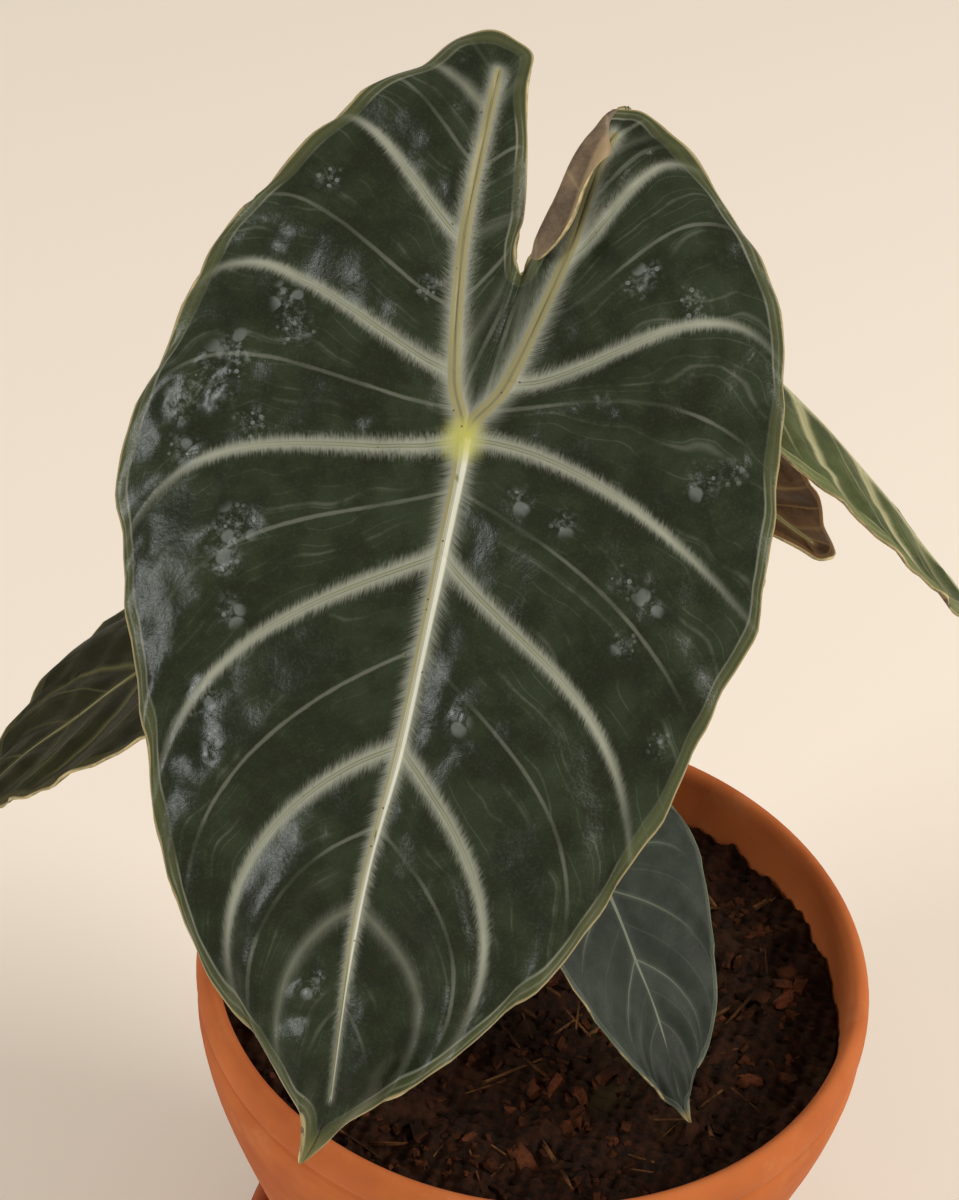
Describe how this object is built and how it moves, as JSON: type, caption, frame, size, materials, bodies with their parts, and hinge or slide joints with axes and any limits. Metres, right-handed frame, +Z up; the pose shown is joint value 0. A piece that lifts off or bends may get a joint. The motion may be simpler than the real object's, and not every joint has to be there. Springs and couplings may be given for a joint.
{
  "type": "potted aroid house plant",
  "caption": "House plant with arrow-shaped, pale-veined leaves on long stalks, growing in a terracotta pot that stands on its saucer.",
  "frame": {"origin": "centre of the saucer's flat underside, where the plant stands on its support", "axes": "+Z up; -Y towards the side that the front leaf leans to; +X to the right when seen from -Y"},
  "size_m": [0.209, 0.2227, 0.3821],
  "materials": {
    "terracotta_saucer": "unglazed, matt",
    "terracotta_pot": "unglazed, matt",
    "potting_soil": "rough, moist crumbs and bark",
    "stem": "satin",
    "stalk": "satin, finely mottled",
    "leaf_dark": "satin sheen over pillows, pale veins",
    "leaf_olive": "satin",
    "leaf_brown": "satin",
    "leaf_grey": "satin"
  },
  "bodies": {
    "root": {"saucer": "terracotta_saucer", "pot": "terracotta_pot", "soil": "potting_soil", "stem_base": "stem", "petiole_front": "stalk", "blade_front": "leaf_dark", "petiole_left": "stalk", "blade_left": "leaf_olive", "petiole_right": "stalk", "blade_right": "leaf_olive", "petiole_rear": "stalk", "blade_rear": "leaf_brown", "petiole_small": "stalk", "blade_small": "leaf_grey"}
  },
  "joints": []
}
